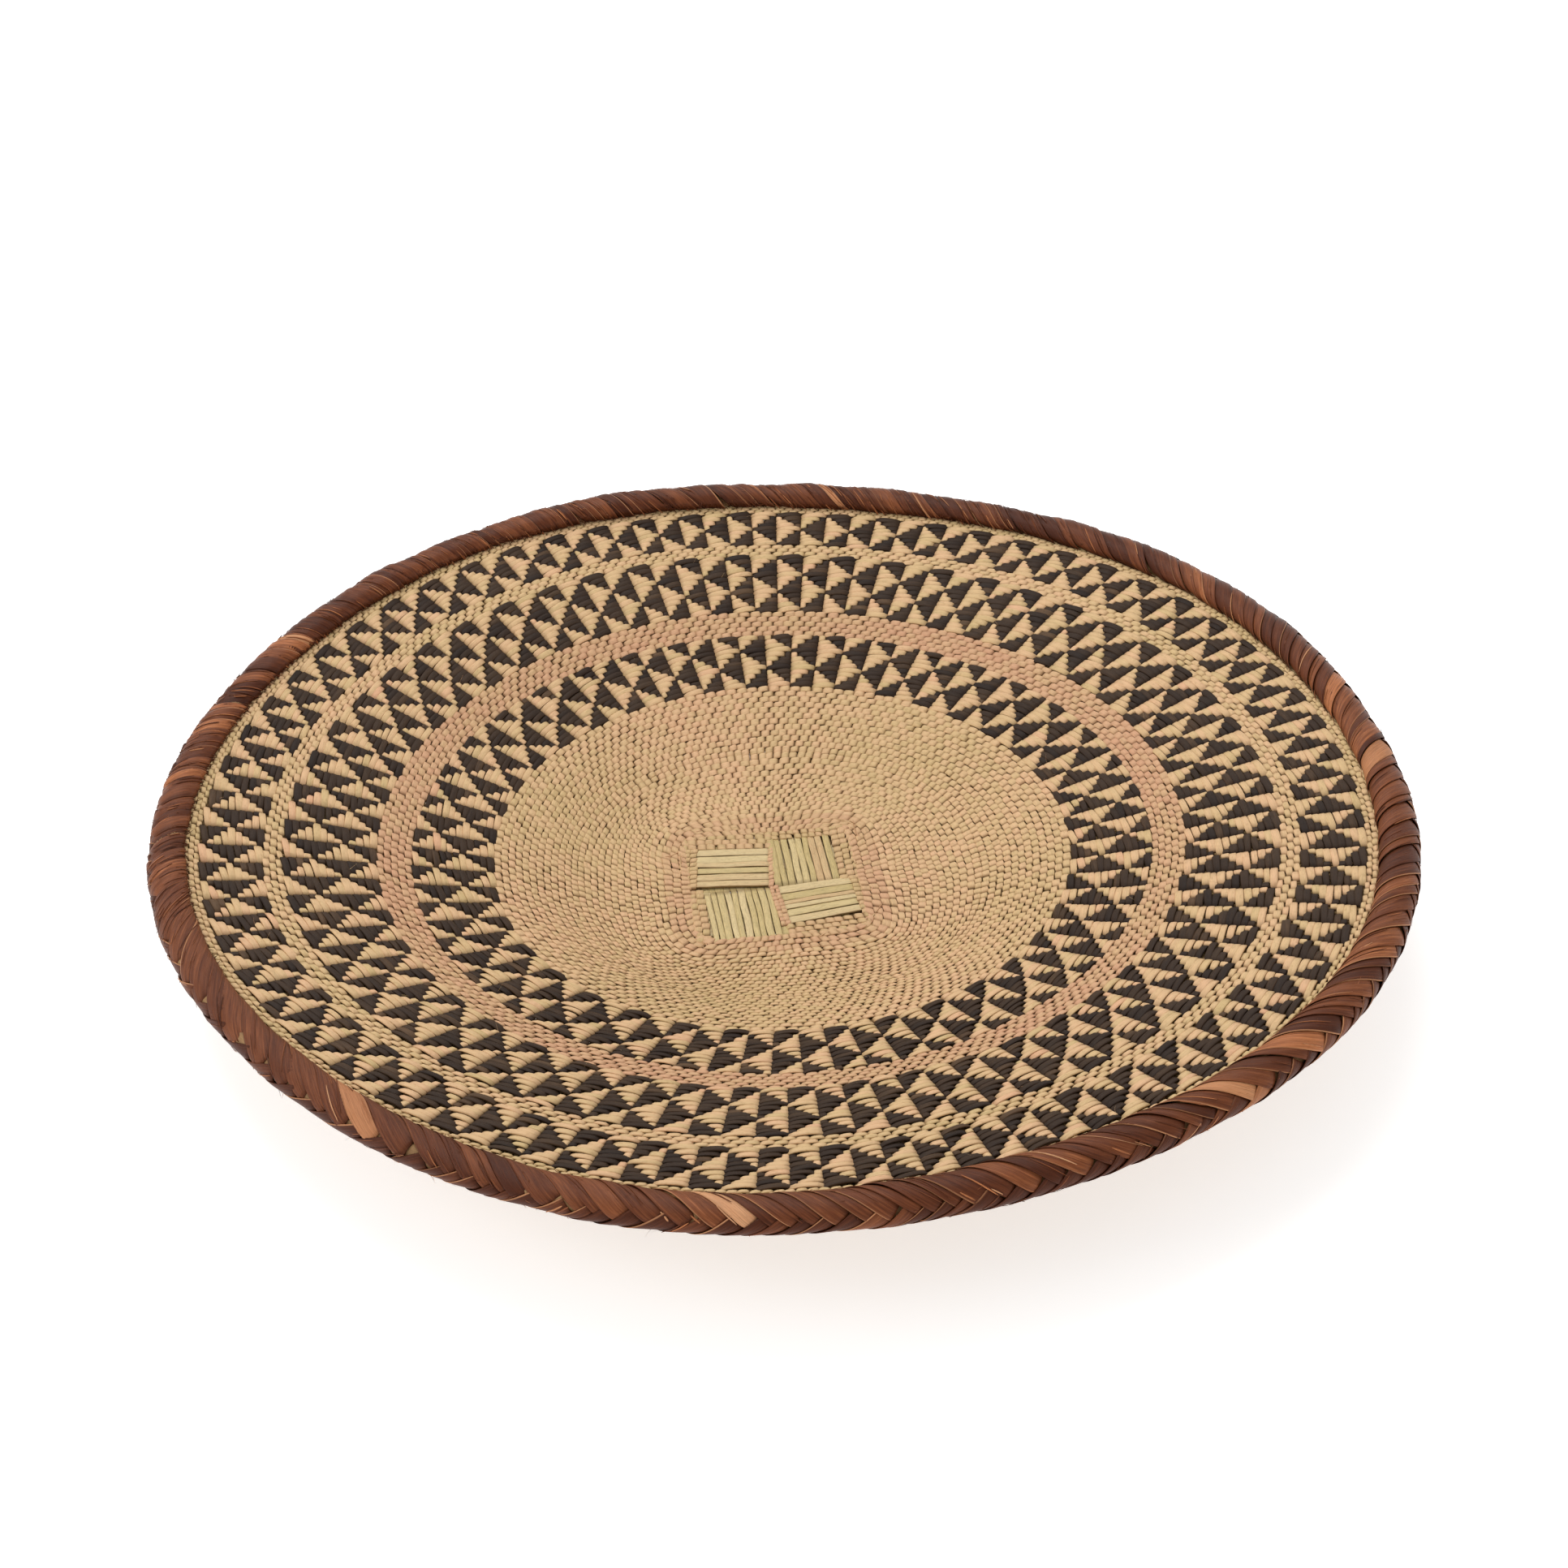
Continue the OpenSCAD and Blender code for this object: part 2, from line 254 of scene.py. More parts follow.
class Nodes:
    """Short names for building a material."""

    def __init__(self, name, roughness, specular=0.3):
        self.material = bpy.data.materials.new(name)
        self.material.use_nodes = True
        self.tree = self.material.node_tree
        self.shader = self.tree.nodes["Principled BSDF"]
        self.shader.inputs["Roughness"].default_value = roughness
        self.shader.inputs["Specular IOR Level"].default_value = specular

    def add(self, kind, inputs=(), **settings):
        node = self.tree.nodes.new(kind)
        for key, value in settings.items():
            setattr(node, key, value)
        for key, value in dict(inputs).items():
            if isinstance(value, bpy.types.NodeSocket):
                self.tree.links.new(value, node.inputs[key])
            else:
                node.inputs[key].default_value = value
        return node

    def math(self, operation, a, b=0.0):
        return self.add("ShaderNodeMath", {0: a, 1: b}, operation=operation).outputs[0]

    def vector(self, name):
        read = self.add("ShaderNodeAttribute", attribute_name=name)
        return self.add("ShaderNodeSeparateXYZ", {0: read.outputs["Vector"]}).outputs

    def noise(self, x, y, z, detail=2.0, rough=0.5):
        """Noise at a scale given by each coordinate's own factor, from 0 to 1."""
        at = self.add("ShaderNodeCombineXYZ", {0: x, 1: y, 2: z}).outputs[0]
        noise = self.add("ShaderNodeTexNoise",
                         {"Vector": at, "Scale": 1.0, "Detail": detail, "Roughness": rough})
        return noise.outputs[0]

    def ramp(self, value, stops):
        node = self.add("ShaderNodeValToRGB", {0: value})
        ramp = node.color_ramp
        while len(ramp.elements) < len(stops):
            ramp.elements.new(0.5)
        for element, (position, colour) in zip(ramp.elements, stops):
            element.position = position
            element.color = (*colour, 1) if len(colour) == 3 else colour
        return node.outputs[0]

    def mix(self, kind, factor, a, b):
        node = self.add("ShaderNodeMix", data_type="RGBA", blend_type=kind)
        for key, value in ((0, factor), (6, a), (7, b)):
            if isinstance(value, bpy.types.NodeSocket):
                self.tree.links.new(value, node.inputs[key])
            else:
                node.inputs[key].default_value = value if key == 0 else (*value, 1)
        return node.outputs[2]

    def finish(self, colour, height, depth, strength=0.6):
        self.tree.links.new(colour, self.shader.inputs["Base Color"])
        bump = self.add("ShaderNodeBump", {"Height": height, "Distance": depth,
                                           "Strength": strength})
        self.tree.links.new(bump.outputs[0], self.shader.inputs["Normal"])
        return self.material


def linear(r, g, b):
    """A colour given as it looks on screen, from 0 to 255, as the renderer wants it."""
    return tuple(((c / 255 + 0.055) / 1.055)**2.4 for c in (r, g, b))


# How fast the noise runs along and across a strand, in cycles a metre
LINES = (260.0, 5200.0)
BROAD = (160.0, 1500.0)
SPOTS = (700.0, 900.0)
WHITE = (1, 1, 1)
GRAIN_DEPTH = 0.12 * MM


def fibre(name, tones, streak, roughness, specular, shade=0.45, coarse=1.0, rim_light=None,
          mottle=0.45, slot=None):
    """Split plant fibre. tones are the colours of different strands, streak how dark the
    lines between fibres are, shade how dark the painted shade is deep in the weave, and
    rim_light the colour of the edge that some strands show, a pale cut edge that is partly a
    painted highlight. The attribute tone holds a strand's tint, its pinkness and how deep a
    point lies in the weave, which sets its painted shade. Returns the material with the slot
    it stands for, which has the name given here, whatever Blender makes of that name."""
    m = Nodes(name, roughness, specular)
    along, across, seed = m.vector("strand")
    tint, pink, depth = m.vector("tone")
    apart = m.math("MULTIPLY", seed, 900.0)       # gives each strand noise of its own

    def grain(speed, scale, *detail):
        return m.noise(m.math("MULTIPLY", along, speed[0] / scale),
                       m.math("MULTIPLY", across, speed[1] / scale), apart, *detail)

    fine = grain(LINES, coarse, 3.0, 0.65)
    broad = grain(BROAD, coarse)
    spot = grain(SPOTS, 1)
    value = m.math("ADD", tint, m.math("MULTIPLY", m.math("SUBTRACT", broad, 0.5), mottle))
    colour = m.ramp(value, [(i / (len(tones) - 1), t) for i, t in enumerate(tones)])
    lines = m.ramp(fine, [(0.30, (1 - streak,) * 3), (0.56, WHITE)])
    colour = m.mix("MULTIPLY", 1.0, colour, lines)
    blotch = m.ramp(spot, [(0.28, (0.8, 0.76, 0.7)), (0.45, WHITE)])
    colour = m.mix("MULTIPLY", 0.6, colour, blotch)
    # a pale cut edge on some strands, partly a painted highlight along the raised edge
    if rim_light:
        edge = m.ramp(pink, [(0.86, (0, 0, 0)), (0.93, WHITE)])
        some = m.ramp(seed, [(0.6, (0, 0, 0)), (0.85, (0.8, 0.8, 0.8))])
        colour = m.mix("MIX", m.math("MULTIPLY", edge, some), colour, rim_light)
    # painted shade: points deep in the weave are darkened
    deepest = (1 - shade, 1 - shade * 1.1, 1 - shade * 1.2)
    dark = m.ramp(depth, [(0.0, WHITE), (1.0, deepest)])
    colour = m.mix("MULTIPLY", 1.0, colour, dark)
    height = m.math("ADD", fine, m.math("MULTIPLY", broad, 0.8))
    rough = m.math("ADD", roughness - 0.1, m.math("MULTIPLY", fine, 0.2))
    m.tree.links.new(rough, m.shader.inputs["Roughness"])
    return m.finish(colour, height, GRAIN_DEPTH * coarse), slot or name


PALE = fibre("pale_palm", [
    linear(208, 179, 128), linear(218, 184, 137), linear(224, 183, 141), linear(223, 173, 135),
], streak=0.2, roughness=0.62, specular=0.2, shade=0.68)
PINK = fibre("pink_palm", [
    linear(206, 176, 126), linear(215, 177, 133), linear(215, 170, 132), linear(209, 157, 123),
], streak=0.22, roughness=0.62, specular=0.2, shade=0.66)
DARK = fibre("dark_palm", [
    linear(44, 31, 23), linear(57, 41, 29), linear(68, 50, 35), linear(100, 76, 54),
], streak=0.4, roughness=0.55, specular=0.16)
STRAW = fibre("straw_splint", [
    linear(198, 174, 116), linear(214, 190, 136), linear(220, 196, 146), linear(208, 172, 124),
], streak=0.36, roughness=0.5, specular=0.3, shade=0.6)
STAKE = fibre("stake_palm", [
    linear(150, 122, 78), linear(168, 138, 92), linear(176, 146, 100), linear(160, 126, 84),
], streak=0.4, roughness=0.7, specular=0.2, slot="straw_splint")
BARK = fibre("bark", [
    linear(78, 38, 20), linear(106, 57, 33), linear(138, 80, 48), linear(190, 120, 76),
], streak=0.4, roughness=0.42, specular=0.14, shade=0.65, coarse=1.6,
    rim_light=linear(196, 138, 96), mottle=0.95)
PALE_BARK = fibre("pale_bark", [
    linear(168, 106, 66), linear(196, 134, 90), linear(216, 160, 116), linear(190, 124, 80),
], streak=0.4, roughness=0.52, specular=0.22, shade=0.5, coarse=1.6)
HOOP = fibre("hoop_wood", [
    linear(140, 104, 66), linear(160, 122, 80), linear(176, 138, 94), linear(150, 112, 70),
], streak=0.4, roughness=0.65, specular=0.25, coarse=2.0)


def finish_piece(piece, material_and_slot, *nodes):
    """Gives a piece its material and puts it under the root body, in place of CAD nodes."""
    material, slot = material_and_slot
    piece.data.materials.append(material)
    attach(piece, "root")
    if nodes:
        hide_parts(*nodes)


# ---------------------------------------------------------------- the weave

# Section of a float: across from -1 to 1, and its height from -1 to 1
FLOAT_SECTION = np.array([(-1, -0.4), (-0.92, 0.5), (-0.68, 0.92), (0, 1.02), (0.68, 0.92),
                          (0.92, 0.5), (1, -0.4), (0, -0.9)])
BACK_SECTION = np.array([(-1, -0.1), (-0.6, 0.9), (0.6, 0.9), (1, -0.1), (0, -0.9)])
FLOAT_THICK = 0.42 * MM       # half the thickness of a float
FLOAT_RISE = 0.5 * MM         # how far its middle rises over the stakes
FLOAT_ARCH = 0.7 * MM         # how much more, for a float of the length below or longer
LONG_FLOAT = 4.5 * MM
HALF_FLOAT = 0.5 * MM         # from the middle of the weave to the middle of its ends


def floats(name, to_dish, at, half, length, pitch, tint, pink, front=True, broad=1.0):
    """Floats of weft, which arch over the stakes and dive between them at both ends.
    at holds each float's place across and along its row, half its half length in the
    units of the second, length the same in metres, and pitch the width of its row."""
    r, th, half, length, pitch, tint, pink = (
        np.asarray(v, float)[:, None, None] for v in (*at, half, length, pitch, tint, pink))
    section = FLOAT_SECTION if front else BACK_SECTION
    side = 1 if front else -1
    u = np.linspace(-1, 1, 8 if front else 5)
    u = (np.sin(u * math.pi / 2) * 0.7 + u * 0.3)[None, :, None]
    vary = rng.normal(0, 1, (6, len(r), 1, 1))
    dive = np.abs(u)**7
    wide = broad * pitch * 0.52 * (1 + 0.07 * vary[0]) * (1 - 0.22 * np.abs(u)**8)
    thick = FLOAT_THICK * (1 + 0.1 * vary[1])
    arch = FLOAT_ARCH * np.minimum(length / LONG_FLOAT, 1)**1.5 * front
    rise = FLOAT_RISE * (1 + 0.16 * vary[2]) + arch * (1 - u * u)
    slant = np.minimum(0.14 * length, 0.3 * pitch) * (1 + 0.3 * vary[5])
    across = section[None, None, :, 0] * wide
    radius = r + 0.09 * MM * vary[3] - slant * u * side + across + 0.05 * MM * vary[4] * u
    angle = th + half * 1.1 * u + 0 * across
    centre_h = HALF_FLOAT + rise * (1 - dive) - 0.15 * MM * dive
    lean = 0.13 * MM * section[None, None, :, 0]
    height = centre_h + lean + thick * section[None, None, :, 1] * (1 - 0.25 * dive)
    points = to_dish(radius, angle, side * height)
    points[..., 2] = np.maximum(points[..., 2], 0)      # it rests flat on the floor
    # painted shade: darker towards the ends, where a float dives between the stakes, and on its
    # underside
    deep = np.clip(0.85 * u**4 + 0.35 * (section[None, None, :, 1] < 0), 0, 1)
    tone = np.stack(np.broadcast_arrays(tint, pink, deep), -1)
    return ribbons(name, points, u * length, across, tone)


def float_rows(name, rows, front=True, broad=1.0):
    """Floats of weft round the dish. Each row is a tuple of arrays: radius, angle, half
    angle, width of the row, tint and pinkness of each float."""
    r, th, half, pitch, tint, pink = (np.concatenate(x) for x in zip(*rows))
    return floats(name, place, (r, th), half, half * r, pitch, tint, pink, front, broad)


def drift_angle(th):
    """Spacing round the dish is uneven, as it is when made by hand."""
    return th + 0.010 * np.sin(3 * th + 1.0) + 0.006 * np.sin(7 * th + 2.0)


PATCH = 40 * MM               # about how wide the patches of one colour are


def patchy(th, r):
    """A slow change of colour over the dish, from 0 to 1."""
    x, y = r * np.cos(th) / PATCH, r * np.sin(th) / PATCH
    return 0.5 + 0.25 * (np.sin(x * 1.7 + y + 1) + np.sin(y * 2.1 - x * 0.6 + 2))


def plain_row(r, count, shift, pitch, pinkness):
    """A row of count floats, each over one stake. shift moves it round by half a float."""
    th = (np.arange(count) + shift) * TURN / count
    th = th + rng.normal(0, 0.05, count) * TURN / count
    patches = patchy(th, r)
    tint = 0.05 + 0.8 * np.clip(
        0.5 * rng.random(count) + 0.45 * patches - 0.1 + 0.35 * pinkness, 0, 1)
    half = np.full(count, math.pi / count)
    return (np.full(count, r), drift_angle(th), half, np.full(count, pitch), tint,
            np.full(count, pinkness))


def plain_rows(r1, r2, rows, count_at, pinkness):
    """Rows of plain weave from r1 to r2. count_at gives the floats of a row at a radius."""
    step = (r2 - r1) / rows
    middles = [r1 + (i + 0.5) * step for i in range(rows)]
    return [plain_row(r, count_at(r), 0.5 * (i % 2), step, pinkness)
            for i, r in enumerate(middles)]


HALF_MOTIF = 4                # stakes that the widest float passes over
BAND_PINKNESS = 0.3


def band_floats(r1, r2, motifs, rows):
    """Pale and dark floats of a band of triangles, row by row. Widths of one family of pale
    triangles rise and fall while those of the other do the opposite."""
    pale, dark = [], []
    stake = TURN / motifs / (2 * HALF_MOTIF)
    start = np.arange(motifs) * 2 * HALF_MOTIF
    step = (r2 - r1) / rows
    for i in range(rows):
        b = HALF_MOTIF - abs(i % (2 * HALF_MOTIF) - HALF_MOTIF)
        a = HALF_MOTIF - b
        spans = [(pale, start - a, a), (pale, start + HALF_MOTIF - b, b),
                 (dark, start, a), (dark, start + HALF_MOTIF, b)]
        for family, first, width in spans:
            if width == 0:
                continue
            th = (first + width / 2) * stake
            n = len(th)
            if family is pale:
                tint = rng.normal(0.45, 0.16, n)
            else:
                tint = rng.normal(0.38, 0.22, n) + 0.15 * (rng.random(n) < 0.06)
            family.append((np.full(n, r1 + (i + 0.5) * step), drift_angle(th),
                           np.full(n, width / 2 * stake), np.full(n, step),
                           np.clip(tint, 0, 1), np.full(n, BAND_PINKNESS)))
    return pale, dark


def field_count(r):
    """Floats in a row of the field, which grow in number twice on the way out."""
    if r < 46 * MM:
        return STAKES // 2
    return STAKES * 3 // 4 if r < 72 * MM else STAKES


def ring_count(count):
    """The same number of floats in every row."""
    return lambda r: count


BIND_ROWS = 3
BIND_PITCH = 3.2 * MM
UNDER_RIM = 2.4 * MM          # how far the last rows run on under the rim
field_split_r = 76 * MM       # the field is woven as two pieces, inside and outside this
first_row_r = SQUARE_HALF + 0.4 * MM
bind_r = first_row_r + BIND_ROWS * BIND_PITCH
inner_pale, inner_dark = band_floats(band1_r, band1_end, motifs=39, rows=12)
middle_pale, middle_dark = band_floats(band2_r, band2_end, motifs=52, rows=13)
outer_pale, outer_dark = band_floats(band3_r, band3_end, motifs=62, rows=9)
binding = plain_rows(first_row_r, bind_r, BIND_ROWS, field_count, 0.3)
field_in = plain_rows(bind_r, field_split_r, 13, field_count, 0.45)
field_out = plain_rows(field_split_r, band1_r, 12, field_count, 0.35)
plain1 = plain_rows(band1_end, band2_r, 5, ring_count(208), 0.7)
plain2 = plain_rows(band2_end, band3_r, 3, ring_count(248), 0.2)
edge = plain_rows(band3_end, dish_r + UNDER_RIM, 3, ring_count(372), -0.2)

# Each piece: its rows, its material, and the nodes it replaces before and behind the stakes
WEFT = [
    ("binding_rows", binding, PINK, ["binding_rows"], ["base_back_weft"]),
    ("field_weft_inner", field_in, PALE, [], []),
    ("field_weft_outer", field_out, PALE, ["centre_field_weft"], ["centre_field_back_weft"]),
    ("inner_band_pale", inner_pale, PALE, ["inner_band_pale_weft"], ["inner_band_back_weft"]),
    ("inner_band_dark", inner_dark, DARK, ["inner_band_dark_weft"], []),
    ("inner_plain_ring", plain1, PINK, ["inner_plain_ring_weft"],
     ["inner_plain_ring_back_weft"]),
    ("middle_band_pale", middle_pale, PALE, ["middle_band_pale_weft"],
     ["middle_band_back_weft"]),
    ("middle_band_dark", middle_dark, DARK, ["middle_band_dark_weft"], []),
    ("outer_plain_ring", plain2, PALE, ["outer_plain_ring_weft"],
     ["outer_plain_ring_back_weft"]),
    ("outer_band_pale", outer_pale, PALE, ["outer_band_pale_weft"], ["outer_band_back_weft"]),
    ("outer_band_dark", outer_dark, DARK, ["outer_band_dark_weft"], []),
    ("edge_rows", edge, PALE, ["edge_weft"], ["edge_back_weft"]),
]
for name, rows, material, front_nodes, back_nodes in WEFT:
    in_band = "_band_" in name
    # strands are fuller in the bands, the dark ones most of all
    broad = 1.08 if material is DARK else 1.05 if in_band else 1.0
    finish_piece(float_rows(name, rows, broad=broad), material, *front_nodes)
    # behind the stakes a pale float lies where a dark one shows in front, and the other way
    other = DARK if material is PALE else PALE
    back = float_rows(name + "_back", rows, front=False)
    finish_piece(back, other if in_band else material, *back_nodes)


# ---------------------------------------------------------------- stakes inside the weave

WIDEST_STAKE = 3.2 * MM
STAKE_THICK = 0.36 * MM       # half the thickness of a stake
FIRST_STAKE_IN = 14 * MM      # how far inside the base's edge the first stakes begin
# Section of a stake, like that of a float
STAKE_SECTION = np.array([(-1, -0.4), (-0.6, 1), (0.6, 1), (1, -0.4), (0, -1)])


def stake_pitch(r):
    """Distance between stakes, which are added twice on the way out."""
    count = np.where(r < ADDED_R, STAKES, np.where(r < band1_end, 2 * STAKES, 4 * STAKES))
    return TURN * r / count


def stakes(name, r1, count, shift, node):
    """Flat stakes that follow the dish from r1 to the rim, between the layers of weft."""
    r = np.linspace(r1, dish_r, 22)[None, :, None]
    th = drift_angle((np.arange(count) + shift) * TURN / count)[:, None, None]
    half = np.minimum(0.52 * stake_pitch(r), WIDEST_STAKE / 2)
    across = STAKE_SECTION[None, None, :, 0] * half
    height = STAKE_SECTION[None, None, :, 1] * STAKE_THICK
    points = place(r + 0 * across, th + across / r, height + 0 * r + 0 * th)
    tint = rng.random((count, 1, 1))
    # painted shade: the stakes lie inside the weave, so they are darkened all along
    deep = np.full(points.shape[:3], 0.75)
    tone = np.stack(np.broadcast_arrays(tint, tint, deep), -1)
    finish_piece(ribbons(name, points, r, across, tone), STAKE, node)


stakes("stakes_inner", base_r - FIRST_STAKE_IN, STAKES, 0, "radial_stakes")
stakes("stakes_middle", ADDED_R, STAKES, 0.5, "middle_added_stakes")
stakes("stakes_outer", band1_end, 2 * STAKES, 0.5, "outer_added_stakes")


# ---------------------------------------------------------------- the plaited start

# Each bundle: its node, quarter turn, number of splints, width in mm, own turn in degrees
# and how much it spreads from one end to the other
BUNDLES = [
    ("plait_ew_rear", "ew_splints_rear", 0, 6, 24.0, -5.0, 0.0),
    ("plait_ns_left", "ns_splints_left", 1, 10, 26.5, 2.0, 0.02),
    ("plait_ew_front", "ew_splints_front", 2, 6, 23.5, 5.5, 0.10),
    ("plait_ns_right", "ns_splints_right", 3, 9, 25.5, 0.5, 0.04),
]
SPLINT_SECTION = np.array([(-1, -0.7), (-0.99, 0.6), (-0.9, 0.9), (-0.3, 1), (0.3, 0.97),
                           (0.9, 0.88), (0.99, 0.6), (1, -0.7)])
SPLINT_THICK = 0.5 * MM       # half the thickness of a splint
SPLINT_LIFT = 0.75 * MM       # how far a bundle rises over one neighbour and sinks under one
HELD = 5 * MM                 # of each splint that the first rows hold
UNDER_REACH = 29 * MM         # how far a bundle runs on under its neighbour
UNDER_DIP = 24 * MM           # and where it comes up again there
BUNDLE_GAP = 0.6 * MM         # from a bundle to the middle of the plait


def bundle_turn(quarter, own_turn):
    return quarter * QUARTER + PLAIT_TURN + math.radians(own_turn)


def on_plait(x, y, h, turn):
    """A point h over the middle of the base, in the frame of a bundle with that turn."""
    c, s = np.cos(turn), np.sin(turn)
    return np.stack([x * c - y * s + PLAIT_OFF[0], x * s + y * c + PLAIT_OFF[1],
                     ring_z[0] + h + 0 * x], -1)


def splint_bundle(name, node, quarter, count, width, own_turn, fan):
    """Flat splints side by side, over one bundle at x < 0 and under the next at x > 0,
    with their ends held by the first rows."""
    x = np.linspace(-SQUARE_HALF - HELD, UNDER_REACH, 40)
    over = SPLINT_LIFT * smooth((SQUARE_HALF + x) / (2.5 * MM))
    under = -SPLINT_LIFT * smooth((UNDER_DIP - x) / (2.5 * MM))
    level = np.where(x < 0, over, under) * smooth(np.abs(x) / (1.6 * MM))
    uneven = 0.3 if count < 8 else 0.12       # broad splints vary more in width
    share = rng.uniform(1 - uneven, 1 + uneven, count)
    ends = np.concatenate([[0], np.cumsum(share)]) / share.sum() * (width * MM - BUNDLE_GAP)
    centre = BUNDLE_GAP + (ends[1:] + ends[:-1]) / 2
    half = np.diff(ends) / 2 - rng.uniform(0.04, 0.2, count) * MM
    across = SPLINT_SECTION[None, None, :, 0] * half[:, None, None]
    tuck = 1 - 0.2 * smooth((np.abs(x) - SQUARE_HALF + 3 * MM) / (3 * MM))[None, :, None]
    wander = rng.normal(0, 1, (2, count, 1, 1))
    along = (x / SQUARE_HALF)[None, :, None]
    bow = MM * (0.2 * wander[0] * np.sin(2 * along)
                + 0.1 * wander[1] * np.sin(9 * along + 5 * wander[0]))
    below = smooth(x / (2 * MM))[None, :, None]
    y = (centre[:, None, None] + across * (tuck + 0.22 * below)) * (1 + fan * along) + bow
    y = y - below * x[None, :, None] * math.tan(math.radians(own_turn))
    z = (level[None, :, None] + SPLINT_SECTION[None, None, :, 1] * SPLINT_THICK
         + 0.07 * MM * rng.normal(0, 1, (count, 1, 1)))
    x, y, z = np.broadcast_arrays(x[None, :, None], y, z)
    # painted shade where the first rows hold the splint ends, where a bundle dips under the next
    # one, and along the sides of each splint
    held = smooth((np.abs(x) - SQUARE_HALF + 2 * MM) / (4 * MM))
    dip = 1 - smooth(np.abs(x) / (2.5 * MM))
    side = (np.abs(SPLINT_SECTION[:, 0]) > 0.96)[None, None, :]
    tint = np.broadcast_to(rng.random((count, 1, 1)), x.shape)
    tone = np.stack([tint, tint, np.clip(0.5 * held + 0.8 * dip + 0.9 * side, 0, 1)], -1)
    points = on_plait(x, y, z, bundle_turn(quarter, own_turn))
    finish_piece(ribbons(name, points, x, across + 0 * x, tone), STRAW, node)


for bundle in BUNDLES:
    splint_bundle(*bundle)

START_PITCH = 2.9 * MM        # from one row of stitches to the next
STEP_ROWS = 5                 # rows in the step beside each bundle
STEP_LENGTH = 40 * MM
STEP_START = 4 * MM           # how far past the middle of the plait they begin
STEP_GAP = 1.3 * MM
STITCHES = 9                  # across the ends of a bundle
CROSS_STITCHES = 11           # along the line where one bundle dives under the next
SUNK = 1.3 * MM               # depth of stitches outside the square or under a bundle


def start_rows(name, front):
    """Short stitches round the plaited start: rows that fill the step beside each bundle,
    stitches over its splint ends, and strands where one bundle dives under the next."""
    rows = []
    for _, _, quarter, _, width, own_turn, _ in BUNDLES:
        turn = bundle_turn(quarter, own_turn)
        for row in range(STEP_ROWS):
            y = width * MM + STEP_GAP + (row if front else row - 1) * START_PITCH
            n = 11 + row % 2
            x = STEP_START - (np.arange(n) + 0.5) * STEP_LENGTH / n
            rows.append((y, x, 1.75 * MM, START_PITCH, turn, 0.5))
            if not front:
                rows.append((y, x + STEP_LENGTH, 1.75 * MM, START_PITCH, turn, 0.5))
        # stitches that run across the bundle, over the ends of its splints
        x = (np.arange(STITCHES) + 0.5) * width * MM / STITCHES
        for out in (30.2, 33.0) if front else (26.0, 28.8, 31.6):
            rows.append((-out * MM, -x, 1.35 * MM, START_PITCH, turn - QUARTER, 0.45))
        if front and quarter % 2 == 0:
            x = (np.arange(CROSS_STITCHES) + 0.5) * width * MM / CROSS_STITCHES
            for out in (0.8,) if quarter == 0 else (-0.8, 0.9):
                rows.append((-out * MM, -x, 1.3 * MM, 1.9 * MM, turn - QUARTER, 0.9))
    size = [len(row[1]) for row in rows]
    y, half, pitch, turns, pink = (np.repeat([row[i] for row in rows], size)
                                   for i in (0, 2, 3, 4, 5))
    x = np.concatenate([row[1] for row in rows])
    n = len(x)
    x = x + 0.2 * MM * rng.normal(0, 1, n)

    def to_dish(across, along, h):
        """Stitches outside the square lie lower, and so do those beneath a bundle."""
        x, y, h = np.broadcast_arrays(along, across, h)
        points = on_plait(x, y, h, turns[:, None, None])
        c, s = math.cos(SQUARE_TURN), math.sin(SQUARE_TURN)
        in_square = (points[..., :2] - SQUARE_OFF) @ np.array([[c, -s], [s, c]])
        outside = smooth((np.abs(in_square).max(-1) - SQUARE_HALF) / (3 * MM))
        beneath = smooth((x + 1 * MM) / (2 * MM)) * (y > 20 * MM)
        points[..., 2] -= SUNK * np.maximum(outside, beneath) * front
        return points

    tint = np.clip(0.4 * rng.random(n) + 0.9 * (pink - 0.5), 0, 1)
    stitches = floats(name, to_dish, (y, x), half, half, pitch, tint, pink, front)
    finish_piece(stitches, PINK)


start_rows("start_stitches", True)
start_rows("start_stitches_back", False)


# ---------------------------------------------------------------- the rim

ENTRY = math.radians(190)     # where the upper strips leave the weave, from the outside
SPINE = math.radians(27)      # where upper and lower strips cross
UNDER = math.radians(-144)    # where the lower strips meet the back of the weave
SLANT = roll_r / rim_r        # for strips that run at 45 degrees over the roll
PALE_AT = np.radians([2, 87, 94.5, 155, 236.5, 268, 308])     # strips of pale inner bark
DIAGONAL = 1.4                # length of a slanted strip, to the arc that it crosses
STRIP_RISE = 0.95 * MM        # height of a strip over the surface it is laid on
STRIP_THICK = 0.2 * MM        # half its thickness
STRIP_TILT = 0.34 * MM        # how far its edges tilt, so that it overlaps the next

STRIP_SECTION = np.array([(-1, -0.3), (-0.9, 0.5), (-0.5, 0.85), (0, 1), (0.5, 0.9), (0.9, 0.7),
                          (1, 0), (0, -0.8)])


def rough_part(th):
    """The far left of the rim, where the bark is frayed."""
    return within(th, 150, 55, 15)


def strip_width(th):
    """Strips are narrower at the far left, and widest at the front left."""
    return (7.2 - 2.0 * within(th, 150, 40) - 1.4 * within(th, 95, 40)
            + 4 * within(th, 220, 18, 6)) * MM


def strip_slant(th):
    """How far strips run round the rim on their way over it, which is least at the left."""
    return (1 + 0.35 * within(th, 35, 22) + 0.25 * within(th, 290, 45)
            - 0.55 * within(th, 135, 16) - 0.35 * within(th, 178, 16)
            + 0.9 * within(th, 222, 14))


